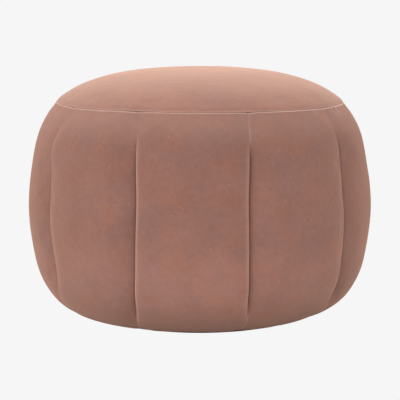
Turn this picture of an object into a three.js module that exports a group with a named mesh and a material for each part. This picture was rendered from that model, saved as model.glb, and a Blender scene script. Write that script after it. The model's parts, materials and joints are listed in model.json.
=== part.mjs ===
// Round velvet footstool: a domed top panel, ten padded side panels sewn edge to edge, and a flat base.
// Millimetres and degrees, +Z up. The origin is the centre of the base, on the floor.
// A bearing is measured round the +Z axis from the front (-Y) towards +X.
import * as THREE from 'three';

// Driving sizes
const gap = 0.3; // kept between neighbouring pieces
const crownRise = 53; // from the ring seam up to the middle of the top panel
const crownPower = 2.72; // flatness of the top panel's middle
const crownSharpness = 0.768; // steepness of the top panel's rim
const nickFade = 24; // how fast the nicks in the top panel's rim die out inwards
const rideFade = 4; // the same for the rises and falls of its rim
const hubRadius = 2; // where the inner corners of the side panels end, beside the axis
const base = { radius: 160, thickness: 2, edge: 0.8 };

// Half outline of the padded side, from the base seam up to the ring seam
const sideOutline = [
  { radius: 162, height: base.thickness + gap },
  { radius: 196, height: 10.8 },
  { radius: 232.5, height: 31.5 },
  { radius: 258.5, height: 70 },
  { radius: 270.5, height: 118 },
  { radius: 276.5, height: 182 },
  { radius: 270, height: 246 },
  { radius: 257, height: 301.5 },
  { radius: 229.5, height: 346.5 },
];

// Vertical seams: bearing at each of the heights below, how deep the seam is drawn in at the belly, how far
// the ring seam rides up or down there, how full the stool is just above the base, and how far the panels
// before and after the seam roll in
const seamHeights = [base.thickness + gap, 40, 95, 150, 215, 275, 315, 346.5];
const seams = [
  { bearings: [-65.8, -62.8, -59.6, -59.8, -59.6, -60.2, -58.7, -57.3],
    depth: 12.5, ride: -0.5, full: 2.6, rolls: [16, 9] },
  { bearings: [-28.0, -24.6, -22.6, -21.6, -21.2, -22.2, -22.2, -23.6],
    depth: 15.0, ride: 1.2, full: 1.2, rolls: [30, 9] },
  { bearings: [18.9, 17.8, 16.9, 16.3, 16.1, 17.0, 17.2, 18.1],
    depth: 15.5, ride: 0.8, full: -0.6, rolls: [9, 20] },
  { bearings: [59.8, 58.8, 57.4, 56.2, 55.5, 56.4, 55.5, 56.5],
    depth: 14.5, ride: -0.2, full: -0.8, rolls: [9, 24] },
  { bearings: [92.0, 91.3, 90.8, 90.5, 90.7, 91.3, 91.9, 92.5],
    depth: 13.5, ride: -1.2, full: 0.4, rolls: [14, 18] },
  { bearings: [126.5, 125.8, 125.4, 125.4, 125.6, 125.9, 126.3, 127.0],
    depth: 14.5, ride: -0.6, full: -0.5, rolls: [22, 12] },
  { bearings: [161.5, 160.8, 160.4, 160.4, 160.6, 160.9, 161.3, 162.0],
    depth: 14.0, ride: 0.4, full: 0.6, rolls: [12, 20] },
  { bearings: [196.5, 196.1, 196.1, 196.4, 196.5, 196.4, 196.8, 197.5],
    depth: 15.0, ride: 0.8, full: -0.4, rolls: [18, 11] },
  { bearings: [231.0, 231.3, 231.7, 231.9, 232.0, 232.0, 232.2, 232.5],
    depth: 13.5, ride: -0.2, full: 0.8, rolls: [13, 21] },
  { bearings: [265.5, 266.5, 267.4, 267.9, 268.0, 267.6, 267.5, 267.5],
    depth: 14.0, ride: 0.6, full: 1.8, rolls: [20, 13] },
];

// How much each side panel puffs out above the base and under the ring seam; panel n lies after seam n
const panels = [
  { low: 0.6, high: 0.8 },
  { low: 0.2, high: 0.0 },
  { low: -0.8, high: 0.3 },
  { low: 0.6, high: 0.6 },
  { low: 0.8, high: -0.8 },
  { low: -0.6, high: 0.9 },
  { low: 1.0, high: 0.2 },
  { low: 0.3, high: -0.6 },
  { low: -0.4, high: 0.7 },
  { low: 0.2, high: 0.2 },
];

// How the panels are drawn in at their edges
const crownSag = { depth: 6, power: 2.2 }; // slow fall from the panel's middle to its vertical seams
const seamRoll = { sharp: 9, sloped: 20, slopePower: 1.6 }; // a short reach rolls round, a long one slopes
const ringRoll = { depth: 1, reach: 5 };
const baseRoll = { depth: 1.5, reach: 6 };
const shallowShare = 0.1; // share of a seam's depth that is left at its two ends
const seamDeepens = { low: [26, 60], high: [264, 314] }; // heights where a seam goes from shallow to deep
const seamRides = [250, 346]; // heights between which the ride of the ring seam comes in
const puffs = { low: [2, 14, 110], high: [255, 322, 346] }; // start, peak and end heights

// Mesh steps
const rowsInMiddle = 14;
const columnsInMiddle = 7;
const edgeSteps = [0, 0.12, 0.45, 1]; // shares of a roll's reach that get a row or column
const outlineDivisions = 600;
const seamDivisions = 420;
const baseSides = 72;
const crownShares = [0.992, 0.975, 0.945, 0.9, 0.83, 0.72, 0.56, 0.36, 0.16];

const velvet = { roughness: 0.95, metalness: 0 };
const topVelvet = new THREE.MeshStandardMaterial({ color: 0xb88b7b, ...velvet });
const sideVelvet = new THREE.MeshStandardMaterial({ color: 0x9c7165, ...velvet });
const baseCloth = new THREE.MeshStandardMaterial({ color: 0x2e2a29, roughness: 1, metalness: 0 });

const { smoothstep, clamp, lerp, degToRad } = THREE.MathUtils;

// 0 at start and end, 1 at the peak
function hill(value, [start, peak, end]) {
  return smoothstep(value, start, peak) * (1 - smoothstep(value, peak, end));
}

// Depth of a rolled edge at some distance from the seam: a quarter of an ellipse
function rollDip(distance, depth, reach) {
  const share = clamp(1 - distance / reach, 0, 1);
  return depth * (1 - Math.sqrt(1 - share * share));
}

// The same beside a vertical seam, where a long reach makes the roll a slope
function seamDip(distance, depth, reach) {
  const slope = depth * clamp(1 - distance / reach, 0, 1) ** seamRoll.slopePower;
  const sloped = smoothstep(reach, seamRoll.sharp, seamRoll.sloped);
  return lerp(rollDip(distance, depth, reach), slope, sloped);
}

// Distances from one edge to the other, close together beside both edges
function spacedWithin(length, startReach, endReach, middleCount) {
  const near = edgeSteps.map((step) => step * startReach);
  const far = edgeSteps.map((step) => length - step * endReach).reverse();
  const inner = [];
  for (let step = 1; step < middleCount; step += 1) {
    inner.push(lerp(startReach, length - endReach, step / middleCount));
  }
  return [...near, ...inner, ...far];
}

// Rows up the side outline, each with its place, its outward direction and its distance from both ends
function sideRows() {
  const outline = new THREE.SplineCurve(sideOutline.map((p) => new THREE.Vector2(p.radius, p.height)));
  outline.arcLengthDivisions = outlineDivisions;
  const length = outline.getLength();
  return spacedWithin(length, baseRoll.reach, ringRoll.reach, rowsInMiddle).map((along) => {
    const share = clamp(along / length, 0, 1);
    const point = outline.getPointAt(share);
    const tangent = outline.getTangentAt(share);
    return {
      radius: point.x,
      height: point.y,
      outward: new THREE.Vector2(tangent.y, -tangent.x),
      fromBase: along,
      fromRing: length - along,
    };
  });
}

// Each seam's smooth curve through its bearings, as points of bearing and height
const seamCurves = seams.map(({ bearings }) => new THREE.SplineCurve(
  bearings.map((bearing, index) => new THREE.Vector2(bearing, seamHeights[index])),
).getPoints(seamDivisions));

function bearingOn(curve, height) {
  const before = clamp(curve.findLastIndex((point) => point.y <= height), 0, curve.length - 2);
  const [low, high] = [curve[before], curve[before + 1]];
  return lerp(low.x, high.x, clamp((height - low.y) / (high.y - low.y), 0, 1));
}

// Share of the belly depth that a vertical seam has at a height
function seamDraw(height) {
  const low = smoothstep(height, ...seamDeepens.low);
  const high = 1 - smoothstep(height, ...seamDeepens.high);
  return lerp(shallowShare, 1, low * high);
}

// The two seams that bound a panel, the second one always at the larger bearing
function seamsOf(index) {
  const next = (index + 1) % seams.length;
  const turn = next === 0 ? 360 : 0;
  return [
    { ...seams[index], bearingAt: (height) => bearingOn(seamCurves[index], height) },
    { ...seams[next], bearingAt: (height) => bearingOn(seamCurves[next], height) + turn },
  ];
}

function atBearing(bearing, radius, height) {
  const angle = degToRad(bearing);
  return new THREE.Vector3(radius * Math.sin(angle), -radius * Math.cos(angle), height);
}

// One horizontal line of points across a panel's outer face, from its left seam to its right one
function panelLine(index, row) {
  const [left, right] = seamsOf(index);
  const clearance = THREE.MathUtils.radToDeg(gap / 2 / row.radius);
  const from = left.bearingAt(row.height) + clearance;
  const to = right.bearingAt(row.height) - clearance;
  const width = row.radius * degToRad(to - from);
  const draw = seamDraw(row.height);
  return spacedWithin(width, left.rolls[1], right.rolls[0], columnsInMiddle).map((across) => {
    const share = across / width;
    const depth = lerp(left.depth, right.depth, share) - crownSag.depth;
    const sag = crownSag.depth * Math.abs(2 * share - 1) ** crownSag.power;
    const roll = seamDip(across, depth, left.rolls[1]) + seamDip(width - across, depth, right.rolls[0]);
    const eased = smoothstep(share, 0, 1);
    const full = lerp(left.full, right.full, eased) + panels[index].low * Math.sin(Math.PI * share);
    const high = panels[index].high * Math.sin(Math.PI * share);
    const dip = draw * (sag + roll)
      + rollDip(row.fromRing, ringRoll.depth, ringRoll.reach)
      + rollDip(row.fromBase, baseRoll.depth, baseRoll.reach)
      - full * hill(row.height, puffs.low)
      - high * hill(row.height, puffs.high);
    const ride = lerp(left.ride, right.ride, eased) * smoothstep(row.height, ...seamRides);
    return atBearing(
      lerp(from, to, share),
      row.radius - dip * row.outward.x,
      row.height - dip * row.outward.y + ride,
    );
  });
}

// A closed solid through a stack of counter-clockwise loops, each end closed by a fan round its hub
function loft(loops, bottomHub, topHub) {
  const count = loops[0].length;
  const faces = [];
  for (let level = 0; level + 1 < loops.length; level += 1) {
    for (let column = 0; column < count; column += 1) {
      const next = (column + 1) % count;
      const lower = [level * count + column, level * count + next];
      const upper = [lower[0] + count, lower[1] + count];
      // The diagonals of the two halves mirror each other, so that facing sides of two panels match
      if (column < count / 2 - 1) {
        faces.push(lower[0], lower[1], upper[1], lower[0], upper[1], upper[0]);
      } else {
        faces.push(lower[0], lower[1], upper[0], lower[1], upper[1], upper[0]);
      }
    }
  }
  const bottom = loops.length * count;
  const topLoop = (loops.length - 1) * count;
  for (let column = 0; column < count; column += 1) {
    const next = (column + 1) % count;
    faces.push(bottom, next, column);
    faces.push(bottom + 1, topLoop + column, topLoop + next);
  }
  const geometry = new THREE.BufferGeometry();
  geometry.setFromPoints([...loops.flat(), bottomHub, topHub]);
  geometry.setIndex(faces);
  return geometry;
}

function sidePanel(index, rows) {
  const [left, right] = seamsOf(index);
  const turned = THREE.MathUtils.radToDeg(gap / 2 / hubRadius);
  const loops = rows.map((row) => [
    atBearing(left.bearingAt(row.height) + turned, hubRadius, row.height),
    ...panelLine(index, row),
    atBearing(right.bearingAt(row.height) - turned, hubRadius, row.height),
  ]);
  const middle = (left.bearingAt(0) + right.bearingAt(0)) / 2;
  const bottomHub = atBearing(middle, 2 * hubRadius, rows[0].height);
  const topHub = atBearing(middle, 2 * hubRadius, rows.at(-1).height);
  return new THREE.Mesh(loft(loops, bottomHub, topHub), sideVelvet);
}

// The top panel stands on the rims of the side panels and rises from there to the crown. The nicks of the
// vertical seams in its rim die out a little way in.
function topPanel(rows) {
  const ringRow = rows.at(-1);
  const rim = panels.flatMap((_, index) => panelLine(index, ringRow));
  const evenRadius = Math.max(...rim.map((point) => Math.hypot(point.x, point.y)));
  const seat = ringRow.height + gap;
  const rings = [1, ...crownShares].map((share) => rim.map((point) => {
    const evening = lerp(evenRadius / Math.hypot(point.x, point.y), 1, share ** nickFade);
    const scale = share * evening;
    const rise = crownRise * (1 - share ** crownPower) ** crownSharpness;
    const unevenness = (point.z - ringRow.height) * share ** rideFade;
    return new THREE.Vector3(point.x * scale, point.y * scale, seat + rise + unevenness);
  }));
  const underside = new THREE.Vector3(0, 0, seat);
  const crown = new THREE.Vector3(0, 0, seat + crownRise);
  return new THREE.Mesh(loft(rings, underside, crown), topVelvet);
}

function basePanel() {
  const { radius, thickness, edge } = base;
  const outline = [[0, 0], [radius - edge, 0], [radius, edge], [radius, thickness - edge],
    [radius - edge, thickness], [0, thickness]];
  const geometry = new THREE.LatheGeometry(outline.map(([x, y]) => new THREE.Vector2(x, y)), baseSides);
  geometry.rotateX(Math.PI / 2);
  return new THREE.Mesh(geometry, baseCloth);
}

const footstool = new THREE.Group();
const rows = sideRows();

const top = topPanel(rows);
top.name = 'top_panel';
footstool.add(top);

panels.forEach((_, index) => {
  const panel = sidePanel(index, rows);
  panel.name = `side_panel_${String(index + 1).padStart(2, '0')}`;
  footstool.add(panel);
});

const bottom = basePanel();
bottom.name = 'base_panel';
footstool.add(bottom);

export default footstool;
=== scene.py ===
# Round velvet footstool: the looks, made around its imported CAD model. Metres, +Z up.
import json
import math

import bpy
import numpy as np
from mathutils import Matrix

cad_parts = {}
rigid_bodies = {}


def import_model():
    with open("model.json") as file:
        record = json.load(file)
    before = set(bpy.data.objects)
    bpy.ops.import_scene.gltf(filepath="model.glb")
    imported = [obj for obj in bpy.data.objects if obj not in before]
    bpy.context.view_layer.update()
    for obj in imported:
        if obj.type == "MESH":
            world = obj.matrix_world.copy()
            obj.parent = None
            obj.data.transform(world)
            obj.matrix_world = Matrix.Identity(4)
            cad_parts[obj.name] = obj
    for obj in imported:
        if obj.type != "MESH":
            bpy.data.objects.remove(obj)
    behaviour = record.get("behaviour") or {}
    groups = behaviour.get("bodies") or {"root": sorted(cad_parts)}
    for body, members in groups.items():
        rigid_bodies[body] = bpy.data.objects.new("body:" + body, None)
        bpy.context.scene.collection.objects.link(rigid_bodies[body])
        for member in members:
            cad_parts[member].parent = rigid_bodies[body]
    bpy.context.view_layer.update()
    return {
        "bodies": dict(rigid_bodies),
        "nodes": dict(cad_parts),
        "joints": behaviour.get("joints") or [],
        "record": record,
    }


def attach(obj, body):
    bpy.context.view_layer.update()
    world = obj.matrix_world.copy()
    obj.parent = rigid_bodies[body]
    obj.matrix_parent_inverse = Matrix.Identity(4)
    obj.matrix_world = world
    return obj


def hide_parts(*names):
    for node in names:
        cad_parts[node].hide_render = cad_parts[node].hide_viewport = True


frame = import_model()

mm = 0.001


# Small helpers

def smoothStep(value, start, end):
    share = np.clip((value - start) / (end - start), 0, 1)
    return share * share * (3 - 2 * share)


def hill(value, start, peak, end):
    return smoothStep(value, start, peak) * (1 - smoothStep(value, peak, end))


def bell(value, width, middle=0):
    return np.exp(-((value - middle) / width) ** 2)


def aroundAxis(radius, bearing, height):
    # Points from their distance to the stool's axis, their bearing and their height
    return np.stack(np.broadcast_arrays(radius * np.sin(bearing), -radius * np.cos(bearing), height), axis=-1)


def ringFaces(count, rings, first=0):
    # Quads between closed rings of points, where each ring's numbers follow those of the one before
    steps = [(column, (column + 1) % count) for column in range(count)]
    return [(start + column, start + after, start + count + after, start + count + column)
            for start in range(first, first + (rings - 1) * count, count) for column, after in steps]


def linearColour(hexValue):
    # sRGB hex to the linear values that the shader takes
    channels = [int(hexValue[place:place + 2], 16) / 255 for place in (1, 3, 5)]
    return tuple(c / 12.92 if c <= 0.04045 else ((c + 0.055) / 1.055) ** 2.4 for c in channels) + (1.0,)


def addNode(tree, kind, settings=None, inputs=None):
    # One node with its settings and links; an input takes a value, a socket or a node's first output
    node = tree.nodes.new(kind)
    for name, value in (settings or {}).items():
        setattr(node, name, value)
    for name, value in (inputs or {}).items():
        if isinstance(value, bpy.types.Node):
            value = value.outputs[0]
        if isinstance(value, bpy.types.NodeSocket):
            tree.links.new(value, node.inputs[name])
        else:
            node.inputs[name].default_value = value
    return node


def newMaterial(name):
    # A material whose node tree starts empty
    material = bpy.data.materials.new(name)
    material.use_nodes = True
    material.node_tree.nodes.clear()
    return material


def placeObject(name, data, location=(0, 0, 0), turn=(0, 0, 0)):
    placed = bpy.data.objects.new(name, data)
    placed.location = location
    placed.rotation_euler = turn
    bpy.context.collection.objects.link(placed)
    return placed


def newGeometryTree(name, sizes):
    # A geometry tree with a mesh in and out, a material, and the named sizes it works from
    tree = bpy.data.node_groups.new(name, "GeometryNodeTree")
    sockets = [("Geometry", "Geometry"), *((size, "Float") for size in sizes), ("Material", "Material")]
    for label, kind in sockets:
        tree.interface.new_socket(label, in_out="INPUT", socket_type="NodeSocket" + kind)
    tree.interface.new_socket("Geometry", in_out="OUTPUT", socket_type="NodeSocketGeometry")
    return tree, addNode(tree, "NodeGroupInput").outputs


def finishGeometryTree(tree, given, offset):
    # Moves the points by the offset, and gives out a plain mesh in its material
    moved = addNode(tree, "GeometryNodeSetPosition", inputs={"Geometry": given["Geometry"], "Offset": offset})
    plain = addNode(tree, "GeometryNodeRealizeInstances", inputs={"Geometry": moved})
    dressed = addNode(tree, "GeometryNodeSetMaterial", inputs={
        "Geometry": plain, "Material": given["Material"]})
    addNode(tree, "NodeGroupOutput", inputs={"Geometry": dressed})
    return tree


def runGeometryTree(piece, tree, values):
    # Sets the tree's named inputs on a modifier, and keeps the result as the piece's plain mesh
    modifier = piece.modifiers.new(tree.name, "NODES")
    modifier.node_group = tree
    for item in tree.interface.items_tree:
        if item.item_type == "SOCKET" and item.in_out == "INPUT" and item.name in values:
            modifier[item.identifier] = values[item.name]
    evaluated = piece.evaluated_get(bpy.context.evaluated_depsgraph_get())
    shaped = bpy.data.meshes.new_from_object(evaluated)
    piece.modifiers.remove(modifier)
    flat = piece.data
    piece.data = shaped
    bpy.data.meshes.remove(flat)
    shaped.name = piece.name


# The stool's main sizes, in millimetres and degrees. A bearing is measured from the front towards +X.
stool = {
    "gap": 0.3,           # between neighbouring pieces
    "outline": [          # radius and height, from the base seam up to the ring seam
        (162, 2.3), (196, 10.8), (232.5, 31.5), (258.5, 70), (270.5, 118),
        (276.5, 182), (270, 246), (257, 301.5), (229.5, 346.5),
    ],
    "ringHeight": 346.5,
    "rideFrom": 250,      # above this height the panels follow the ups and downs of the ring seam
    "ringWave": 0.12,     # slight waviness of the sewn line
    "waveCounts": (23, 37, 61),
}

# Vertical seams: bearing at each of the heights below, depth at the belly, how much of it is the quick tuck
# in the last millimetres, how far the ring seam rides up or down there, how full the stool is just above the
# base, how far the panels before and after it roll in, how curved a long roll is (1 is straight), the heights
# between which the seam grows deep above the base and shallow again under the ring, and how strong a painted
# highlight runs along its shallow ends
seamValues = ("bearings", "depth", "tight", "ride", "full", "rolls", "curved", "low", "high", "highlightShare")
seams = [dict(zip(seamValues, row)) for row in (
    ((-65.8, -62.8, -59.6, -59.8, -59.6, -60.2, -58.7, -57.3),
     12.5, 1.5, -0.5, 2.6, (16, 6), 1.6, (45, 92), (205, 292), 0.3),
    ((-28.0, -24.6, -22.6, -21.6, -21.2, -22.2, -22.2, -23.6),
     15.0, 1.4, 1.2, 1.2, (30, 9), 1.15, (15, 44), (268, 330), 0.15),
    ((18.9, 17.8, 16.9, 16.3, 16.1, 17.0, 17.2, 18.1),
     15.5, 3.4, 0.8, -0.6, (13, 20), 1.6, (26, 60), (275, 318), 0.3),
    ((59.8, 58.8, 57.4, 56.2, 55.5, 56.4, 55.5, 56.5),
     14.5, 2.6, -0.2, -0.8, (9, 24), 1.25, (26, 60), (262, 322), 0.05),
    ((92.0, 91.3, 90.8, 90.5, 90.7, 91.3, 91.9, 92.5),
     13.5, 2.6, -1.2, 0.4, (14, 18), 1.6, (26, 60), (264, 314), 0.2),
    ((126.5, 125.8, 125.4, 125.4, 125.6, 125.9, 126.3, 127.0),
     14.5, 3.4, -0.6, -0.5, (22, 12), 1.3, (22, 56), (276, 322), 0.25),
    ((161.5, 160.8, 160.4, 160.4, 160.6, 160.9, 161.3, 162.0),
     14.0, 1.8, 0.4, 0.6, (12, 20), 1.6, (30, 70), (250, 306), 0.1),
    ((196.5, 196.1, 196.1, 196.4, 196.5, 196.4, 196.8, 197.5),
     15.0, 3.0, 0.8, -0.4, (18, 11), 1.5, (26, 60), (264, 314), 0.3),
    ((231.0, 231.3, 231.7, 231.9, 232.0, 232.0, 232.2, 232.5),
     13.5, 2.2, -0.2, 0.8, (13, 21), 1.3, (20, 52), (280, 326), 0.2),
    ((265.5, 266.5, 267.4, 267.9, 268.0, 267.6, 267.5, 267.5),
     14.0, 2.6, 0.6, 1.8, (20, 13), 1.6, (28, 64), (256, 308), 0.15),
)]
seamHeights = (2.3, 40, 95, 150, 215, 275, 315, 346.5)
shallowShare = 0.1          # share of its depth that a seam keeps at its two ends


def smoothCurve(points, steps=60):
    # Catmull-Rom curve through points in a plane
    points = np.array(points, float)
    padded = np.vstack([points[:1], points, points[-1:]])
    share = np.linspace(0, 1, steps, endpoint=False)[:, None]
    spans = []
    for before, start, end, after in zip(padded, padded[1:], padded[2:], padded[3:]):
        leave, arrive = (end - before) / 2, (after - start) / 2
        spans.append((2 * start - 2 * end + leave + arrive) * share ** 3
                     + (3 * end - 3 * start - 2 * leave - arrive) * share ** 2 + leave * share + start)
    return np.vstack(spans + [points[-1:]])


def seamBearing(seam, height):
    curve = smoothCurve(list(zip(seam["bearings"], seamHeights)))
    return np.interp(height, curve[:, 1], curve[:, 0])


def seamDraw(seam, height):
    # Share of the belly depth that a vertical seam has at a height
    deep = smoothStep(height, *seam["low"]) * (1 - smoothStep(height, *seam["high"]))
    return shallowShare + (1 - shallowShare) * deep


def ringRide(bearing):
    # Ups and downs of the ring seam at bearings in radians
    knots = np.radians([seam["bearings"][-1] for seam in seams])
    knots = np.append(knots, knots[0] + 2 * math.pi)
    rides = np.array([seam["ride"] for seam in seams + seams[:1]])
    turned = (bearing - knots[0]) % (2 * math.pi) + knots[0]
    span = np.clip(np.searchsorted(knots, turned, "right") - 1, 0, len(seams) - 1)
    share = smoothStep(turned, knots[span], knots[span + 1])
    wave = sum(np.sin(count * bearing + 1.7 * count) for count in stool["waveCounts"])
    return rides[span] * (1 - share) + rides[span + 1] * share + stool["ringWave"] * wave


def stepsBetween(length, reach, fine, coarse):
    # Distances from one edge to the other: fine steps within reach of both edges, coarse ones between
    near = np.linspace(0, reach, fine + 1)
    middle = np.linspace(reach, length - reach, max(2, round((length - 2 * reach) / coarse)))
    return np.concatenate([near[:-1], middle, length - near[::-1][1:]])


def sideRows():
    # Rows up the side: place on the outline, outward direction, and distances from the two end seams
    curve = smoothCurve(stool["outline"])
    reached = np.concatenate([[0], np.cumsum(np.linalg.norm(np.diff(curve, axis=0), axis=1))])
    along = stepsBetween(reached[-1], panelLook["edgeBand"], panelLook["edgeSteps"], panelLook["step"])
    place = np.stack([np.interp(along, reached, curve[:, axis]) for axis in (0, 1)], axis=1)
    slope = np.gradient(place, along, axis=0)
    slope /= np.linalg.norm(slope, axis=1)[:, None]
    return {
        "radius": place[:, 0], "height": place[:, 1],
        "outward": np.stack([slope[:, 1], -slope[:, 0]], axis=1),
        "fromBase": along, "fromRing": reached[-1] - along,
    }


# Side panels
panelLook = {
    "sagDepth": 6,          # slow fall from a panel's middle to its vertical seams
    "sagPower": 2.2,
    "tightReach": 6,        # width of the quick tuck beside a seam
    "sharpReach": (20, 9),  # a short roll is round, a long one a straight slope
    "ringDepth": 0.5,
    "ringReach": 14,
    "baseDepth": 1.5,
    "baseReach": 8,
    "startInside": 2.5,     # how much smaller the face starts, before its cloth swells
    "startBand": 45,
    "hubRadius": 2,         # inner corners of the panels, beside the axis
    "hubTop": 345.8,        # their top, a little under the rim
    "step": 8,              # spacing of the points that the cloth is worked out on
    "edgeBand": 8,          # width of the band of closer points beside the seams
    "edgeSteps": 4,
}
# How much each panel puffs out above the base and under the ring seam; panel n lies after seam n
panelPuffs = [
    (0.6, 0.8), (0.2, 0.0), (-0.8, 0.3), (0.6, 0.6), (0.8, -0.8), (-0.6, 0.9), (1.0, 0.2),
    (0.3, -0.6), (-0.4, 0.7), (0.2, 0.2),
]
puffHeights = {"low": (2, 14, 110), "high": (255, 322, 346.5)}  # start, peak and end


def panelFace(index, rows):
    # The outer face between its two seams, before the padding is drawn in, as rows by columns, with what each
    # of its points knows about the seams round it
    left, right = seams[index], seams[(index + 1) % len(seams)]
    turn = 360 if index + 1 == len(seams) else 0
    radius, height = rows["radius"][:, None], rows["height"][:, None]
    clearance = np.degrees(stool["gap"] / 2 / radius)
    fromBearing = seamBearing(left, height) + clearance
    toBearing = seamBearing(right, height) + turn - clearance
    width = radius * np.radians(toBearing - fromBearing)
    widest = width.max()
    share = stepsBetween(1, panelLook["edgeBand"] / widest, panelLook["edgeSteps"],
                         panelLook["step"] / widest)[None, :]
    eased = smoothStep(share, 0, 1)
    middle = np.sin(np.pi * share)
    bearing = np.radians(fromBearing + (toBearing - fromBearing) * share)
    lowPuff, highPuff = panelPuffs[index]
    full = left["full"] + (right["full"] - left["full"]) * eased + lowPuff * middle
    swell = full * hill(height, *puffHeights["low"])
    swell = swell + highPuff * middle * hill(height, *puffHeights["high"])
    ride = ringRide(bearing) * smoothStep(height, stool["rideFrom"], stool["ringHeight"])
    outR, outZ = rows["outward"][:, 0, None], rows["outward"][:, 1, None]
    band = panelLook["startBand"]
    inside = (smoothStep(rows["fromRing"], 0, band) * smoothStep(rows["fromBase"], 0, band))[:, None]
    swell = swell - panelLook["startInside"] * inside * np.sqrt(middle)
    depth = left["depth"] + (right["depth"] - left["depth"]) * share
    tight = left["tight"] + (right["tight"] - left["tight"]) * share
    nearLeft = share < 0.5
    reachIn = np.where(nearLeft, left["rolls"][1], right["rolls"][0])
    values = {
        "share": share,
        "fromSeam": np.minimum(share, 1 - share) * width * mm,
        "fromRing": rows["fromRing"][:, None] * mm,
        "fromBase": rows["fromBase"][:, None] * mm,
        "draw": np.where(nearLeft, seamDraw(left, height), seamDraw(right, height)),
        "rollDepth": (depth - tight - panelLook["sagDepth"]) * mm,
        "rollReach": reachIn * mm,
        "sharp": smoothStep(reachIn, *panelLook["sharpReach"]),
        "curved": np.where(nearLeft, left["curved"], right["curved"]),
        "highlightShare": np.where(nearLeft, left["highlightShare"], right["highlightShare"]),
        "tight": tight * mm,
    }
    return {
        "bearing": bearing,
        "place": aroundAxis(radius + swell * outR, bearing, height + swell * outZ + ride) * mm,
        "outward": aroundAxis(outR, bearing, outZ),
        "values": {name: np.broadcast_to(value, bearing.shape) for name, value in values.items()},
    }


def buildMesh(name, places, faces):
    mesh = bpy.data.meshes.new(name)
    mesh.from_pydata(places.tolist(), [], faces)
    mesh.validate()
    mesh.shade_smooth()
    return placeObject(name, mesh)


def storeAttribute(piece, name, values):
    kind = "FLOAT_VECTOR" if values.ndim == 2 else "FLOAT"
    attribute = piece.data.attributes.new(name, kind, "POINT")
    attribute.data.foreach_set("vector" if values.ndim == 2 else "value", values.astype(np.float32).ravel())


def readAttribute(piece, name, width=1):
    values = np.empty(len(piece.data.vertices) * width, np.float32)
    piece.data.attributes[name].data.foreach_get("vector" if width == 3 else "value", values)
    return values.astype(float) if width == 1 else values.reshape(-1, width).astype(float)


def markHeld(piece, held):
    # The sewn outline: it stays put while the cloth swells, and stays crisp when the mesh is subdivided
    piece.vertex_groups.new(name="held").add(np.flatnonzero(held).tolist(), 1, "REPLACE")
    ends = np.empty(len(piece.data.edges) * 2, np.int32)
    piece.data.edges.foreach_get("vertices", ends)
    crease = piece.data.attributes.new("crease_edge", "FLOAT", "EDGE")
    crease.data.foreach_set("value", held[ends.reshape(-1, 2)].all(axis=1).astype(np.float32))


def panelSolid(index, rows):
    # The face closed by two walls that run in to the axis, and by a flat top and bottom
    face = panelFace(index, rows)
    rowCount, columnCount = face["bearing"].shape
    turned = stool["gap"] / 2 / panelLook["hubRadius"]
    level = np.minimum(rows["height"], panelLook["hubTop"]) * mm
    hub = [aroundAxis(panelLook["hubRadius"] * mm, face["bearing"][:, column] + sign * turned, level)[:, None]
           for column, sign in ((0, 1), (-1, -1))]
    places = np.concatenate([hub[0], face["place"], hub[1]], axis=1)
    count = columnCount + 2
    faces = ringFaces(count, rowCount)
    faces.append(tuple(range(count))[::-1])
    faces.append(tuple((rowCount - 1) * count + column for column in range(count)))
    piece = buildMesh(f"velvetPanel{index + 1:02d}", places.reshape(-1, 3), faces)
    for name, values in face["values"].items():
        storeAttribute(piece, name, np.pad(values, ((0, 0), (1, 1))).ravel())
    storeAttribute(piece, "outward", np.pad(face["outward"], ((0, 0), (1, 1), (0, 0))).reshape(-1, 3))
    held = np.ones((rowCount, count), bool)
    held[1:-1, 2:-2] = False
    markHeld(piece, held.ravel())
    return piece


def makeRolledEdge():
    # Depth of a rolled edge at a distance from its seam: a quarter of an ellipse if sharp, else a slope
    tree = bpy.data.node_groups.new("rolledEdge", "GeometryNodeTree")
    for label in ("Distance", "Depth", "Reach", "Sharpness", "Slope Power"):
        tree.interface.new_socket(label, in_out="INPUT", socket_type="NodeSocketFloat")
    tree.interface.new_socket("Dip", in_out="OUTPUT", socket_type="NodeSocketFloat")
    given = addNode(tree, "NodeGroupInput").outputs
    share = addNode(tree, "ShaderNodeMath", {"operation": "DIVIDE"}, {
        0: given["Distance"], 1: given["Reach"]})
    inward = addNode(tree, "ShaderNodeMath", {"operation": "SUBTRACT", "use_clamp": True}, {0: 1.0, 1: share})
    square = addNode(tree, "ShaderNodeMath", {"operation": "MULTIPLY"}, {0: inward, 1: inward})
    rest = addNode(tree, "ShaderNodeMath", {"operation": "SUBTRACT", "use_clamp": True}, {0: 1.0, 1: square})
    height = addNode(tree, "ShaderNodeMath", {"operation": "SQRT"}, {0: rest})
    curved = addNode(tree, "ShaderNodeMath", {"operation": "SUBTRACT"}, {0: 1.0, 1: height})
    sloped = addNode(tree, "ShaderNodeMath", {"operation": "POWER"}, {0: inward, 1: given["Slope Power"]})
    drop = addNode(tree, "ShaderNodeMix", {"data_type": "FLOAT"}, {
        0: given["Sharpness"], 2: sloped, 3: curved})
    dip = addNode(tree, "ShaderNodeMath", {"operation": "MULTIPLY"}, {0: drop.outputs[0], 1: given["Depth"]})
    addNode(tree, "NodeGroupOutput", inputs={"Dip": dip})
    return tree


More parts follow.
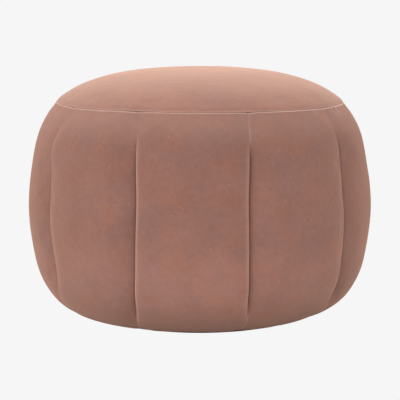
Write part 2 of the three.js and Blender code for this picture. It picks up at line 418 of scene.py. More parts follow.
def makePadding(rolledEdge):
    # Draws a panel's face in at its seams: a slow fall from the middle, then a rounder roll
    tree, given = newGeometryTree("padding", (
        "Sag Depth", "Sag Power", "Ring Depth", "Ring Reach", "Base Depth", "Base Reach"))
    names = ("share", "fromSeam", "fromRing", "fromBase", "draw", "rollDepth", "rollReach", "sharp", "curved")
    stored = {name: addNode(tree, "GeometryNodeInputNamedAttribute", {"data_type": "FLOAT"}, {"Name": name})
              for name in names}
    outward = addNode(tree, "GeometryNodeInputNamedAttribute", {"data_type": "FLOAT_VECTOR"}, {
        "Name": "outward"})

    # slow fall from the middle to both seams
    offCentre = addNode(tree, "ShaderNodeMath", {"operation": "MULTIPLY_ADD"}, {
        0: stored["share"], 1: 2.0, 2: -1.0})
    aside = addNode(tree, "ShaderNodeMath", {"operation": "ABSOLUTE"}, {0: offCentre})
    fall = addNode(tree, "ShaderNodeMath", {"operation": "POWER"}, {0: aside, 1: given["Sag Power"]})
    sag = addNode(tree, "ShaderNodeMath", {"operation": "MULTIPLY"}, {0: fall, 1: given["Sag Depth"]})

    # rolls beside the seams; the quick tuck is sewn in afterwards
    seamRoll = addNode(tree, "GeometryNodeGroup", {"node_tree": rolledEdge}, {
        "Distance": stored["fromSeam"], "Depth": stored["rollDepth"], "Reach": stored["rollReach"],
        "Sharpness": stored["sharp"], "Slope Power": stored["curved"]})
    ringRoll, baseRoll = [addNode(tree, "GeometryNodeGroup", {"node_tree": rolledEdge}, {
        "Distance": stored["from" + end], "Depth": given[end + " Depth"], "Reach": given[end + " Reach"],
        "Sharpness": 1.0}) for end in ("Ring", "Base")]
    across = addNode(tree, "ShaderNodeMath", {"operation": "ADD"}, {0: sag, 1: seamRoll})
    drawn = addNode(tree, "ShaderNodeMath", {"operation": "MULTIPLY"}, {0: across, 1: stored["draw"]})
    ends = addNode(tree, "ShaderNodeMath", {"operation": "ADD"}, {0: ringRoll, 1: baseRoll})
    dip = addNode(tree, "ShaderNodeMath", {"operation": "ADD"}, {0: drawn, 1: ends})
    rise = addNode(tree, "ShaderNodeMath", {"operation": "MULTIPLY"}, {0: dip, 1: -1.0})
    offset = addNode(tree, "ShaderNodeVectorMath", {"operation": "SCALE"}, {0: outward, "Scale": rise})
    return finishGeometryTree(tree, given, offset)


# Top panel
topLook = {
    "crownRise": 52,            # from the ring seam up to the middle
    "crownPower": 2.72,         # flatness of the middle
    "crownSharpness": 0.768,    # steepness of the rim
    "tuck": 0.5,                # how far the rim sits inside the side panels' edge
    "drop": 0.35,               # and below their drawn height, because their edge turns in
    "rideFade": 4,              # how fast the ups and downs of the ring seam die away inwards
    "spokes": 120,
    "rimShares": (1, 0.994, 0.985, 0.972, 0.955),   # rings of points close to the rim
    "ringStep": 9,              # and the spacing of the others
    "ringCrowding": 1.1,        # above 1 they crowd towards the rim
    "leastStep": 0.02,
}


def topSolid():
    # A flat disc over the rims of the side panels, with its share of the way out stored for the crown
    radius = stool["outline"][-1][0] - topLook["tuck"]
    bearings = np.linspace(-math.pi, math.pi, topLook["spokes"], endpoint=False)
    steps = np.linspace(0, 1, round(radius / topLook["ringStep"]) + 1)[1:-1]
    inner = 1 - steps ** topLook["ringCrowding"]
    innermost = topLook["rimShares"][-1] - topLook["leastStep"]
    shares = np.concatenate([topLook["rimShares"], inner[inner < innermost]])
    seat = stool["ringHeight"] - topLook["drop"] + stool["gap"]
    places = [aroundAxis(radius * share, bearings, seat + ringRide(bearings) * share ** topLook["rideFade"])
              for share in shares]
    places.append([[0, 0, seat], [0, 0, seat]])
    count = len(bearings)
    faces = ringFaces(count, len(shares))
    crown = len(shares) * count
    last = crown - count
    for column in range(count):
        after = (column + 1) % count
        faces += [(last + column, last + after, crown), (after, column, crown + 1)]
    piece = buildMesh("velvetTop", np.concatenate(places) * mm, faces)
    shareOf = np.concatenate([np.repeat(shares, count), [0, 1]])
    storeAttribute(piece, "share", shareOf)
    storeAttribute(piece, "fromRing", (1 - shareOf) * radius * mm)
    held = np.zeros(len(shareOf), bool)
    held[:count] = True
    held[-1] = True
    markHeld(piece, held)
    return piece


def makeCrown():
    # Lifts the disc into its crown, flat in the middle and steep at the rim
    tree, given = newGeometryTree("crown", ("Rise", "Flatness", "Rim Sharpness"))
    share = addNode(tree, "GeometryNodeInputNamedAttribute", {"data_type": "FLOAT"}, {"Name": "share"})
    outness = addNode(tree, "ShaderNodeMath", {"operation": "POWER"}, {0: share, 1: given["Flatness"]})
    inness = addNode(tree, "ShaderNodeMath", {"operation": "SUBTRACT", "use_clamp": True}, {
        0: 1.0, 1: outness})
    profile = addNode(tree, "ShaderNodeMath", {"operation": "POWER"}, {0: inness, 1: given["Rim Sharpness"]})
    lift = addNode(tree, "ShaderNodeMath", {"operation": "MULTIPLY"}, {0: profile, 1: given["Rise"]})
    offset = addNode(tree, "ShaderNodeCombineXYZ", inputs={"Z": lift})
    return finishGeometryTree(tree, given, offset)


# Stuffing: the cloth swells between its seams
stuffing = {
    # slack is how much longer the cloth is than its start, and cap the furthest that a point may move
    "side": {"pressure": 4, "slack": 0.010, "cap": 4},
    "top": {"pressure": 2, "slack": 0, "cap": 1.5},
    "cloth": {"quality": 5, "mass": 0.3, "tension_stiffness": 15, "compression_stiffness": 15,
              "shear_stiffness": 7.5, "bending_stiffness": 0.6, "use_pressure": True,
              "vertex_group_mass": "held"},
    "frames": 20,
    "evenEdge": 18,         # the cloth stays as it was sewn at a seam, and is free from here inwards
    "lumpDepth": 0.45,      # uneven filling
    "lumpSize": 62,
    "levels": 2,            # of rounding afterwards
}


def readPlaces(mesh):
    places = np.empty(len(mesh.vertices) * 3, np.float32)
    mesh.vertices.foreach_get("co", places)
    return places.reshape(-1, 3).astype(float)


def writePlaces(mesh, places):
    mesh.vertices.foreach_set("co", places.astype(np.float32).ravel())
    mesh.update()


def freedom(piece):
    # Nought along the sewn edges, and one from a little way inwards
    names = [name for name in ("fromSeam", "fromRing", "fromBase") if name in piece.data.attributes]
    nearest = np.minimum.reduce([readAttribute(piece, name) for name in names])
    return smoothStep(nearest / mm, 0, stuffing["evenEdge"])


def swellCloth(looks):
    # One cloth run for all the pieces; each is pressed out from inside and held along its seams
    scene = bpy.context.scene
    for piece, look in looks.items():
        cloth = piece.modifiers.new("stuffing", "CLOTH")
        for name, value in stuffing["cloth"].items():
            setattr(cloth.settings, name, value)
        cloth.settings.uniform_pressure_force = look["pressure"]
        cloth.settings.shrink_min = -look["slack"]
        cloth.settings.effector_weights.gravity = 0
        cloth.collision_settings.use_collision = False
        cloth.point_cache.frame_start = 1
        cloth.point_cache.frame_end = stuffing["frames"]
    for frame in range(1, stuffing["frames"] + 1):
        scene.frame_set(frame)
    graph = bpy.context.evaluated_depsgraph_get()
    for piece, look in looks.items():
        start = readPlaces(piece.data)
        moved = readPlaces(piece.evaluated_get(graph).data) - start
        length = np.linalg.norm(moved, axis=1)
        print(f"  {piece.name}: moved {length.mean() / mm:.1f} mm on average,"
              f" {length.max() / mm:.1f} at most")
        cap = look["cap"] * mm
        allowed = cap * np.tanh(length / cap) * freedom(piece)
        piece.modifiers.clear()
        writePlaces(piece.data, start + moved * (allowed / np.maximum(length, 1e-9))[:, None])
    scene.frame_set(1)


def makeLumps():
    # Slight lumps of uneven filling, none where the cloth is sewn down
    tree, given = newGeometryTree("lumps", ("Depth", "Size", "Seed"))
    loose = addNode(tree, "GeometryNodeInputNamedAttribute", {"data_type": "FLOAT"}, {"Name": "loose"})
    fineness = addNode(tree, "ShaderNodeMath", {"operation": "DIVIDE"}, {0: 1.0, 1: given["Size"]})
    noise = addNode(tree, "ShaderNodeTexNoise", {"noise_dimensions": "4D"},
                    {"W": given["Seed"], "Scale": fineness, "Detail": 2.0, "Roughness": 0.45})
    centred = addNode(tree, "ShaderNodeMath", {"operation": "MULTIPLY_ADD"}, {0: noise, 1: 4.0, 2: -2.0})
    lump = addNode(tree, "ShaderNodeMath", {"operation": "MULTIPLY"}, {0: centred, 1: given["Depth"]})
    free = addNode(tree, "ShaderNodeMath", {"operation": "MULTIPLY"}, {0: lump, 1: loose})
    normal = addNode(tree, "GeometryNodeInputNormal")
    offset = addNode(tree, "ShaderNodeVectorMath", {"operation": "SCALE"}, {0: normal, "Scale": free})
    return finishGeometryTree(tree, given, offset)


# Sewn edges
edgeLook = {
    "ringTuck": 0.6, "ringTuckReach": 0.8,          # the side panels' edge turns in under the ring seam
    "bead": 0.6, "beadAt": 1.1, "beadWidth": 1.0,   # and stands up as a thin lip just before it
    "topTuck": 0.4, "topTuckReach": 3,              # the top's rim turns in behind the lip
    "lipHighlightWidth": 1.4,                               # painted highlight on the lip
    "topHighlightWidth": 1.2, "topHighlightShare": 0.25,      # a fainter one on the tucked rim of the top, lightening the shade of its gap
    "seamHighlightWidth": 1.2,                           # and on the shallow ends of the vertical seams
    "sharpEdgeHighlightAt": 3.4, "sharpEdgeHighlightWidth": 3, "sharpEdgeHighlightShare": 0.2,  # painted highlight beside a sharp seam edge, where its sheen would catch the light
    "upperHighlightShare": 0.085, "upperHighlightReach": (14, 62),  # painted highlight: the side paler under the ring seam, where it leans back to the light
    "paintedShadeMost": 0.32,         # strength of the painted shade in a groove
    "paintedShadeFullTuck": 4,            # depth of quick tuck at which the painted shade is darkest
    "paintedShadeReachShare": 0.5, "paintedShadeReachLess": 6, "paintedShadeReachLeast": 1.2,    # its reach, from that of the groove's roll
}
# Strength of the painted highlight on the lip, at bearings round the ring seam
lipHighlights = [
    (-180, 0.5), (-60, 0.55), (-32, 0.48), (-12, 0.4), (24, 0.42), (33, 0.58),
    (60, 0.7), (72, 1), (84, 1), (110, 0.5), (180, 0.5),
]
# Sharp folds that run down from the ring seam: where each starts, how far it leans, its depth (a ridge is
# below nought), how much painted shade lies in it, and how strong a painted highlight runs along both its
# sides
folds = [
    {"bearing": -56.9, "lean": -1.4, "length": 36, "width": 1.9, "depth": -1.1, "shadeShare": 0, "highlightShare": 0},
    {"bearing": 48.5, "lean": 0.8, "length": 14, "width": 1.6, "depth": 0.2, "shadeShare": 0, "highlightShare": 0.25},
    {"bearing": 63.0, "lean": 2.2, "length": 26, "width": 3.2, "depth": 2.6, "shadeShare": 1, "highlightShare": 0.45},
]
# Small gathers under the ring seam: bearing, length and depth of the crease, and depth of the pit at its head
gathers = [
    (-53.0, 20, 0.9, 0.6), (-21.5, 12, 1.0, 1.0), (-17.0, 9, 0.9, 0.9), (-12.0, 8, 0.9, 1.0),
    (-8.3, 9, 1.0, 1.0), (-4.8, 6, 0.8, 0.8), (4.6, 16, 1.0, 0.8), (9.4, 30, 1.1, 0.9),
    (14.0, 22, 1.1, 0.8), (61.0, 24, 0.8, 0.1), (72.0, 24, 1.0, 1.0),
]
gatherLook = {
    "width": 2.6, "offLip": (1.5, 4),       # a crease starts below the lip
    "crease": 0.45, "creaseFade": 1.5,
    # the pits are also darkened in colour with painted shade
    "dimple": 1.0, "dimpleHeight": 1.6, "dimpleWidth": 1.5, "dimpleDrop": 1.5, "pitShade": 0.2,
    "foldFade": 0.7,
    "flankAt": 1.8, "flankWidth": 0.8,      # where the painted highlight lies beside a fold, in widths of the fold
    # behind the stool: where they begin, and the least and most of their spacing, length, depth and pit
    "hiddenFrom": 78, "hiddenStep": 5.5, "hiddenSpacing": (0.6, 2.6),
    "hiddenLength": (6, 28), "hiddenDepth": (0.6, 1.1), "hiddenPit": (0.2, 1), "seed": 7,
}


def allGathers():
    # The photograph's gathers in front, and seeded ones of the same kind round the rest of the ring
    random = np.random.default_rng(gatherLook["seed"])
    hidden = []
    bearing = gatherLook["hiddenFrom"]
    while bearing < 360 - gatherLook["hiddenFrom"]:
        hidden.append((bearing, *(random.uniform(*gatherLook[name])
                                  for name in ("hiddenLength", "hiddenDepth", "hiddenPit"))))
        bearing += gatherLook["hiddenStep"] * random.uniform(*gatherLook["hiddenSpacing"])
    return gathers + hidden


def tuckShare(distance, reach):
    # How much of its depth a tuck has at a distance from its seam: a quarter of a circle
    return 1 - np.sqrt(1 - np.clip(1 - distance / reach, 0, 1) ** 2)


def sewTop(piece):
    # The top's tucked rim, and a faint painted highlight along it
    places = readPlaces(piece.data)
    fromRing = readAttribute(piece, "fromRing") / mm
    bearing = np.arctan2(places[:, 0], -places[:, 1])
    tuck = edgeLook["topTuck"] * tuckShare(fromRing, edgeLook["topTuckReach"])
    writePlaces(piece.data, places - aroundAxis(tuck * mm, bearing, 0))
    storeAttribute(piece, "edgeHighlight", edgeLook["topHighlightShare"] * bell(fromRing, edgeLook["topHighlightWidth"]))


def sewPanel(piece):
    # The quick tucks beside the seams, the lip under the ring seam, the gathers and folds, and the painted
    # highlights and painted shade there
    places = readPlaces(piece.data)
    bearing = np.arctan2(places[:, 0], -places[:, 1])
    outward = readAttribute(piece, "outward", 3)
    onFace = np.linalg.norm(outward, axis=1) > 0.5
    fromRing, fromSeam, tight, rollReach = [
        readAttribute(piece, name) / mm for name in ("fromRing", "fromSeam", "tight", "rollReach")]
    draw, sharp, highlightShare = [readAttribute(piece, name) for name in ("draw", "sharp", "highlightShare")]
    ringRadius = stool["outline"][-1][0]
    offLip = smoothStep(fromRing, *gatherLook["offLip"])

    # tucks, which start before the roll does, and the lip
    deep = np.clip((draw - shallowShare) / (1 - shallowShare), 0, 1)
    tuckDraw = shallowShare + (1 - shallowShare) * np.sqrt(deep)
    dip = tight * tuckDraw * tuckShare(fromSeam, panelLook["tightReach"])
    dip += edgeLook["ringTuck"] * tuckShare(fromRing, edgeLook["ringTuckReach"])
    dip -= edgeLook["bead"] * bell(fromRing, edgeLook["beadWidth"], edgeLook["beadAt"])

    pits, foldShade, foldHighlight = np.zeros((3, len(places)))
    head = bell(fromRing, gatherLook["dimpleHeight"], edgeLook["beadAt"] + gatherLook["dimpleDrop"])
    for gatherBearing, length, depth, pit in allGathers():
        aside = (bearing - math.radians(gatherBearing) + math.pi) % (2 * math.pi) - math.pi
        across = aside * ringRadius / gatherLook["width"]
        fade = np.clip(1 - fromRing / length, 0, 1) ** gatherLook["creaseFade"]
        crease = gatherLook["crease"] * depth * bell(across, 1) * fade * offLip
        dimple = gatherLook["dimple"] * pit * bell(across, gatherLook["dimpleWidth"]) * head
        dip += np.where(onFace, crease + dimple, 0)
        pits = np.maximum(pits, dimple)
    for fold in folds:
        run = np.clip(fromRing / fold["length"], 0, 1)
        aside = bearing - np.radians(fold["bearing"] + fold["lean"] * run)
        across = aside * ringRadius / fold["width"]
        shown = (1 - run) ** gatherLook["foldFade"] * offLip * onFace
        dip += fold["depth"] * bell(across, 1) * shown
        foldShade = np.maximum(foldShade, fold["shadeShare"] * bell(across, 1) * shown)
        flank = bell(np.abs(across), gatherLook["flankWidth"], gatherLook["flankAt"])
        foldHighlight = np.maximum(foldHighlight, fold["highlightShare"] * flank * shown)
    writePlaces(piece.data, places - outward * dip[:, None] * mm)

    # painted highlights: pale lines on the lip, along the shallow ends of the seams, beside the folds, under
    # the ring seam and beside the sharp seam edges
    seamHighlight = bell(fromSeam, edgeLook["seamHighlightWidth"]) * (1 - draw) * highlightShare
    lipHighlight = np.interp(np.degrees(bearing), *np.transpose(lipHighlights))
    lipHighlight *= np.exp(-((fromRing - edgeLook["beadAt"]) / edgeLook["lipHighlightWidth"]) ** 4)
    upperHighlight = edgeLook["upperHighlightShare"] * (1 - smoothStep(fromRing, *edgeLook["upperHighlightReach"]))
    sharpEdgeHighlight = edgeLook["sharpEdgeHighlightShare"] * draw * sharp
    sharpEdgeHighlight *= bell(fromSeam, edgeLook["sharpEdgeHighlightWidth"], edgeLook["sharpEdgeHighlightAt"])
    highlight = np.maximum.reduce([lipHighlight, seamHighlight, foldHighlight + upperHighlight, sharpEdgeHighlight])
    storeAttribute(piece, "edgeHighlight", np.where(onFace, highlight, 0))

    # painted shade: darker pile in the grooves beside the seams, in the gathers' pits and in the dark folds
    reach = (rollReach - edgeLook["paintedShadeReachLess"]) * edgeLook["paintedShadeReachShare"]
    paintedShade = np.clip(tight / edgeLook["paintedShadeFullTuck"], 0, 1) * draw ** 2
    paintedShade *= edgeLook["paintedShadeMost"] * bell(fromSeam, np.maximum(reach, edgeLook["paintedShadeReachLeast"]))
    storeAttribute(piece, "paintedShade", np.maximum.reduce([paintedShade, gatherLook["pitShade"] * pits, foldShade]))


# Materials

# The noises that the pile is drawn from: size in millimetres, detail, seed, and the part of each that is used
pileNoises = {
    "brown": {"size": 26, "detail": 3.0, "seed": 3.0,       # areas where the nap leans one way
              "from": (0.38, 0.66), "to": (0, 1), "ease": "SMOOTHSTEP"},
    "grey": {"size": 33.8, "detail": 3.0, "seed": 11.0,     # and another
             "from": (0.4, 0.68), "to": (0, 1), "ease": "SMOOTHSTEP"},
    "worn": {"size": 45, "detail": 2.0, "seed": 17.0,       # broad areas where use has pressed the pile
             "from": (0.25, 0.75), "to": (0.915, 1.085), "ease": "LINEAR"},
    "streak": {"size": 8, "detail": 3.0, "seed": 5.0,       # finer brush marks
               "from": (0.25, 0.75), "to": (0.92, 1.08), "ease": "LINEAR"},
    "nap": {"size": 1.4, "detail": 2.0, "seed": 7.0},       # clumps of pile, coarser than the real 0.3 mm
}
velvetLook = {
    "fleckSpacing": 4.2,        # specks: a few pale ones of lint, more that are only a faint dark tuft
    "fleckSize": 0.8,
    "lintRarity": 18.0,         # the higher, the fewer are pale
    "darkRarity": 3.0,
    "darkTone": 0.42,
    "belly": (100, 170),        # heights over which painted shade darkens the side from the belly up
    "paintedShadeTone": 0.5,          # tone of the darkest painted shade in grooves, pits and folds
    "napBump": {"Strength": 0.35, "Distance": 0.3 * mm},
    "streakBump": {"Strength": 0.5, "Distance": 1.2 * mm},
    "surface": {"Roughness": 0.85, "Specular IOR Level": 0.05, "Sheen Roughness": 0.6},
}


def makeVelvet(name, colours):
    # Polyester velvet, woven, cut and brushed: dark where seen straight on, pale where seen edge on,
    # with soft patches of browner and greyer nap, worn areas, fine brush marks and specks of lint
    material = newMaterial(name)
    tree = material.node_tree
    place = addNode(tree, "ShaderNodeTexCoord").outputs["Object"]
    noises = {kind: addNode(tree, "ShaderNodeTexNoise", {"noise_dimensions": "4D"}, {
        "Vector": place, "W": look["seed"], "Scale": 1 / (look["size"] * mm), "Detail": look["detail"],
        "Roughness": 0.5})
        for kind, look in pileNoises.items()}
    amounts = {kind: addNode(tree, "ShaderNodeMapRange", {"interpolation_type": look["ease"]}, {
        "Value": noises[kind], "From Min": look["from"][0], "From Max": look["from"][1],
        "To Min": look["to"][0], "To Max": look["to"][1]})
        for kind, look in pileNoises.items() if "to" in look}

    # nap that leans towards or away from the eye
    warm = addNode(tree, "ShaderNodeMix", {"data_type": "RGBA"}, {
        0: amounts["brown"], 6: linearColour(colours["pile"]), 7: linearColour(colours["brown"])})
    patched = addNode(tree, "ShaderNodeMix", {"data_type": "RGBA"}, {
        0: amounts["grey"], 6: warm.outputs[2], 7: linearColour(colours["grey"])})

    # specks: one in each cell, pale, dark or hardly there
    cells = addNode(tree, "ShaderNodeTexVoronoi", inputs={
        "Vector": place, "Scale": 1 / (velvetLook["fleckSpacing"] * mm)})
    inSpeck = addNode(tree, "ShaderNodeMath", {"operation": "LESS_THAN"}, {
        0: cells.outputs["Distance"], 1: velvetLook["fleckSize"] / velvetLook["fleckSpacing"]})
    chance = addNode(tree, "ShaderNodeSeparateColor", inputs={"Color": cells.outputs["Color"]})
    paleness, darkness = [addNode(tree, "ShaderNodeMath", {"operation": "POWER"}, {
        0: chance.outputs[channel], 1: velvetLook[rarity]})
        for channel, rarity in (("Red", "lintRarity"), ("Green", "darkRarity"))]
    lint, hollow = [addNode(tree, "ShaderNodeMath", {"operation": "MULTIPLY"}, {0: inSpeck, 1: strength})
                    for strength in (paleness, darkness)]
    shadow = addNode(tree, "ShaderNodeMath", {"operation": "MULTIPLY_ADD"}, {
        0: hollow, 1: -velvetLook["darkTone"], 2: 1.0})

    # painted shade: the side darker from the belly up than below it
    height = addNode(tree, "ShaderNodeSeparateXYZ", inputs={"Vector": place}).outputs["Z"]
    belly = addNode(tree, "ShaderNodeMapRange", {"interpolation_type": "SMOOTHSTEP"}, {
        "Value": height, "From Min": velvetLook["belly"][0] * mm, "From Max": velvetLook["belly"][1] * mm,
        "To Min": 1.0, "To Max": colours["bellyShadeTone"]})
    level = addNode(tree, "ShaderNodeMath", {"operation": "MULTIPLY"}, {0: amounts["worn"], 1: belly})
    tinted = patched.outputs[2]
    for tone in (level, amounts["streak"], shadow):
        tinted = addNode(tree, "ShaderNodeVectorMath", {"operation": "SCALE"}, {0: tinted, "Scale": tone})
    dotted = addNode(tree, "ShaderNodeMix", {"data_type": "RGBA"}, {
        0: lint, 6: tinted, 7: linearColour(colours["lint"])})

    # painted shade darkens the deep seams, pits and folds; painted highlights pale the lip, seam ends, fold
    # flanks and edges
    paintedShade, highlightShare = [addNode(tree, "ShaderNodeAttribute", {"attribute_name": stored}).outputs["Fac"]
                      for stored in ("paintedShade", "edgeHighlight")]
    shade = addNode(tree, "ShaderNodeMapRange", inputs={
        "Value": paintedShade, "To Min": 1.0, "To Max": velvetLook["paintedShadeTone"]})
    deep = addNode(tree, "ShaderNodeVectorMath", {"operation": "SCALE"}, {
        0: dotted.outputs[2], "Scale": shade})
    edged = addNode(tree, "ShaderNodeMix", {"data_type": "RGBA"}, {
        0: highlightShare, 6: deep, 7: linearColour(colours["highlightColour"])})

    # bump of the clumped pile and of the brush marks
    napBump = addNode(tree, "ShaderNodeBump", inputs={**velvetLook["napBump"], "Height": noises["nap"]})
    bump = addNode(tree, "ShaderNodeBump", inputs={
        **velvetLook["streakBump"], "Height": noises["streak"], "Normal": napBump})
    shader = addNode(tree, "ShaderNodeBsdfPrincipled", inputs={
        **velvetLook["surface"], "Base Color": edged.outputs[2], "Sheen Weight": colours["sheenWeight"],
        "Sheen Tint": linearColour(colours["sheen"]), "Normal": bump})
    addNode(tree, "ShaderNodeOutputMaterial", inputs={"Surface": shader})
    return material


# the last colour is that of the painted highlights along the lip, seams, folds and edges
dustyRose = {"pile": "#8c6358", "brown": "#8e6255", "grey": "#88625a", "lint": "#ab8074", "sheen": "#fac5ad",
             "highlightColour": "#e0bdb0"}
sideVelvet = makeVelvet("brushedVelvetSide", {**dustyRose, "sheenWeight": 0.64, "bellyShadeTone": 0.86})
topVelvet = makeVelvet("brushedVelvetTop", {
    **dustyRose, "sheen": "#f5c9b4", "sheenWeight": 0.89, "bellyShadeTone": 1.0})

print("building the panels")
rows = sideRows()
padding = makePadding(makeRolledEdge())
panels = []
for index in range(len(seams)):
    panel = panelSolid(index, rows)
    runGeometryTree(panel, padding, {
        "Sag Depth": panelLook["sagDepth"] * mm, "Sag Power": panelLook["sagPower"],
        "Ring Depth": panelLook["ringDepth"] * mm, "Ring Reach": panelLook["ringReach"] * mm,
        "Base Depth": panelLook["baseDepth"] * mm, "Base Reach": panelLook["baseReach"] * mm,
        "Material": sideVelvet,
    })
    panels.append(panel)
top = topSolid()
runGeometryTree(top, makeCrown(), {
    "Rise": topLook["crownRise"] * mm, "Flatness": topLook["crownPower"],
    "Rim Sharpness": topLook["crownSharpness"], "Material": topVelvet,
})

print("stuffing the cloth")
swellCloth({**{panel: stuffing["side"] for panel in panels}, top: stuffing["top"]})

print("sewing the edges")
lumps = makeLumps()
for number, piece in enumerate(panels + [top]):
    isTop = piece is top
    subdivision = piece.modifiers.new("rounding", "SUBSURF")
    subdivision.levels = subdivision.render_levels = stuffing["levels"]
    storeAttribute(piece, "loose", freedom(piece))
    runGeometryTree(piece, lumps, {
        "Depth": stuffing["lumpDepth"] * mm, "Size": stuffing["lumpSize"] * mm, "Seed": float(number),
        "Material": topVelvet if isTop else sideVelvet,
    })
    piece.modifiers.clear()
    if isTop:
        sewTop(piece)
    else:
        sewPanel(piece)
    piece.vertex_groups.clear()
    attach(piece, "root")
    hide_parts("top_panel" if isTop else f"side_panel_{number + 1:02d}")
    print(f"  {piece.name}: {len(piece.data.polygons)} faces")


# Base cloth
baseLook = {
    "radius": 160, "thickness": 2,
    "spokes": 240, "ringStep": 3,
    "edgeRise": 0.8, "riseFrom": 0.97,      # the rim turns up into the seam
    "slack": 0.35,                          # depth of the shallow ripples that run in from the rim
    "ripples": 20,                          # two for each panel
    "rippleSpan": (0.55, 0.9, 1), "rippleDrift": 0.6, "driftCount": 3,
    "threadSpacing": 1.2,                   # real thread is about 0.5, drawn coarser so that it shows
    "threadTone": (0.75, 1.1),
}


def baseSheet():
    # A round cloth drawn flat across the bottom, with an even thickness
    bearings = np.linspace(0, 2 * math.pi, baseLook["spokes"], endpoint=False)
    count = len(bearings)
    shares = np.linspace(0, 1, round(baseLook["radius"] / baseLook["ringStep"]) + 1)[1:]
    drift = baseLook["rippleDrift"] * np.sin(baseLook["driftCount"] * bearings)
    ripple = 0.5 + 0.5 * np.cos(baseLook["ripples"] * bearings + drift)
    places = [[[0, 0, 0]]]
    for share in shares:
        lift = baseLook["edgeRise"] * smoothStep(share, baseLook["riseFrom"], 1) ** 2
        lift = lift + baseLook["slack"] * ripple * hill(share, *baseLook["rippleSpan"])
        places.append(aroundAxis(baseLook["radius"] * share, bearings, lift))
    lower = np.concatenate(places) * mm
    upper = lower + [0, 0, (baseLook["thickness"] - baseLook["edgeRise"]) * mm]
    size = len(lower)
    after = [(column + 1) % count for column in range(count)]
    faces = [(0, 1 + after[column], 1 + column) for column in range(count)] + ringFaces(count, len(shares), 1)
    faces += [tuple(size + point for point in face[::-1]) for face in faces]
    rim = size - count
    faces += [(rim + column, rim + after[column], size + rim + after[column], size + rim + column)
              for column in range(count)]
    return buildMesh("baseCloth", np.concatenate([lower, upper]), faces)


def makeBaseCloth(name, hexValue):
    # Plain woven polypropylene dust cloth: a dull dark grey with a fine even thread
    material = newMaterial(name)
    tree = material.node_tree
    place = addNode(tree, "ShaderNodeTexCoord").outputs["Object"]
    warp, weft = [addNode(tree, "ShaderNodeTexWave", {"bands_direction": direction}, {
        "Vector": place, "Scale": math.pi / 10 / (baseLook["threadSpacing"] * mm)}).outputs["Fac"]
        for direction in ("X", "Y")]
    weave = addNode(tree, "ShaderNodeMath", {"operation": "MAXIMUM"}, {0: warp, 1: weft})
    tone = addNode(tree, "ShaderNodeMapRange", inputs={
        "Value": weave, "To Min": baseLook["threadTone"][0], "To Max": baseLook["threadTone"][1]})
    colour = addNode(tree, "ShaderNodeVectorMath", {"operation": "SCALE"}, {
        0: linearColour(hexValue)[:3], "Scale": tone})
    bump = addNode(tree, "ShaderNodeBump", inputs={"Height": weave, "Strength": 0.6, "Distance": 0.3 * mm})
    shader = addNode(tree, "ShaderNodeBsdfPrincipled", inputs={
        "Base Color": colour, "Roughness": 0.8, "Specular IOR Level": 0.3, "Normal": bump})
    addNode(tree, "ShaderNodeOutputMaterial", inputs={"Surface": shader})
    return material


print("laying the base cloth")
base = baseSheet()
base.data.materials.append(makeBaseCloth("wovenDustCloth", "#4a4442"))
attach(base, "root")
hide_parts("base_panel")


# Stage, light and camera
stage = {
    "floorSize": 120,
    "paper": "#f6f6f6",     # the even pale ground
    "card": "#959595",      # how much light the ground throws back
    "cardDrop": 2,
    "daylight": 0.543,
    "lightWidth": 60,
    "cameraDistance": 2.75, "cameraHeight": 0.5738, "cameraDip": 0.14042, "lens": 154.44,
}
# Broad soft lights: bearing from the front towards +X, elevation and strength
studioLights = {
    "frontLight": {"bearing": 0, "elevation": 5, "strength": 0.498},
    "leftSoftbox": {"bearing": -40, "elevation": 30, "strength": 0.906},
    "rightSoftbox": {"bearing": 40, "elevation": 30, "strength": 1.058},
    "leftLight": {"bearing": -80, "elevation": 25, "strength": 0.961},
    "backLight": {"bearing": 180, "elevation": 50, "strength": 0.303},
}
# A light panel that lies on the ground in front and fills the lower half; metres and watts
floorPanel = {"width": 1.2, "depth": 0.45, "ahead": 0.525, "height": 0.001, "power": 1.344}

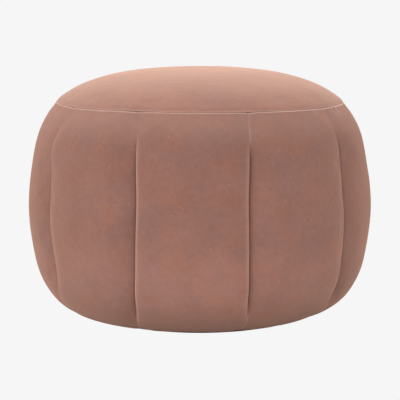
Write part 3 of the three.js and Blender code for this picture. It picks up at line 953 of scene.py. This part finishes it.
print("setting the stage")
floorMesh = bpy.data.meshes.new("floor")
half = stage["floorSize"] / 2
corners = [(-half, -half, 0), (half, -half, 0), (half, half, 0), (-half, half, 0)]
floorMesh.from_pydata(corners, [], [(0, 1, 2, 3)])
# the ground glows evenly and throws no light; a card just under it, unseen, throws it back up instead
floor = placeObject("floor", floorMesh)
floor.visible_diffuse = floor.visible_glossy = floor.visible_shadow = False
card = placeObject("bounceCard", floorMesh.copy(), (0, 0, -stage["cardDrop"] * mm))
card.visible_camera = False
grounds = (
    (floor, "seamlessPaper", "ShaderNodeEmission", {"Color": linearColour(stage["paper"])}),
    (card, "greyCard", "ShaderNodeBsdfPrincipled",
     {"Base Color": linearColour(stage["card"]), "Roughness": 1.0}),
)
for ground, paperName, kind, look in grounds:
    paper = newMaterial(paperName)
    surface = addNode(paper.node_tree, kind, inputs=look)
    addNode(paper.node_tree, "ShaderNodeOutputMaterial", inputs={"Surface": surface})
    ground.data.materials.append(paper)

world = bpy.data.worlds.new("studio")
bpy.context.scene.world = world
world.use_nodes = True
background = world.node_tree.nodes["Background"]
background.inputs["Color"].default_value = (1, 1, 1, 1)
background.inputs["Strength"].default_value = stage["daylight"]

for name, look in studioLights.items():
    lightData = bpy.data.lights.new(name, "SUN")
    lightData.energy = look["strength"]
    lightData.angle = math.radians(stage["lightWidth"])
    tilt = math.radians(90 - look["elevation"])
    placeObject(name, lightData, turn=(tilt, 0, math.radians(look["bearing"])))

panelData = bpy.data.lights.new("floorPanel", "AREA")
panelData.shape = "RECTANGLE"
panelData.size = floorPanel["width"]
panelData.size_y = floorPanel["depth"]
panelData.energy = floorPanel["power"]
panelPlace = (0, -floorPanel["ahead"], floorPanel["height"])
panelLight = placeObject("floorPanel", panelData, panelPlace, (math.pi, 0, 0))
panelLight.visible_camera = False

cameraData = bpy.data.cameras.new("photoCamera")
cameraData.lens = stage["lens"]
bpy.context.scene.camera = placeObject(
    "photoCamera", cameraData, (0, -stage["cameraDistance"], stage["cameraHeight"]),
    (math.pi / 2 - stage["cameraDip"], 0, 0))
bpy.context.scene.view_settings.view_transform = "Standard"
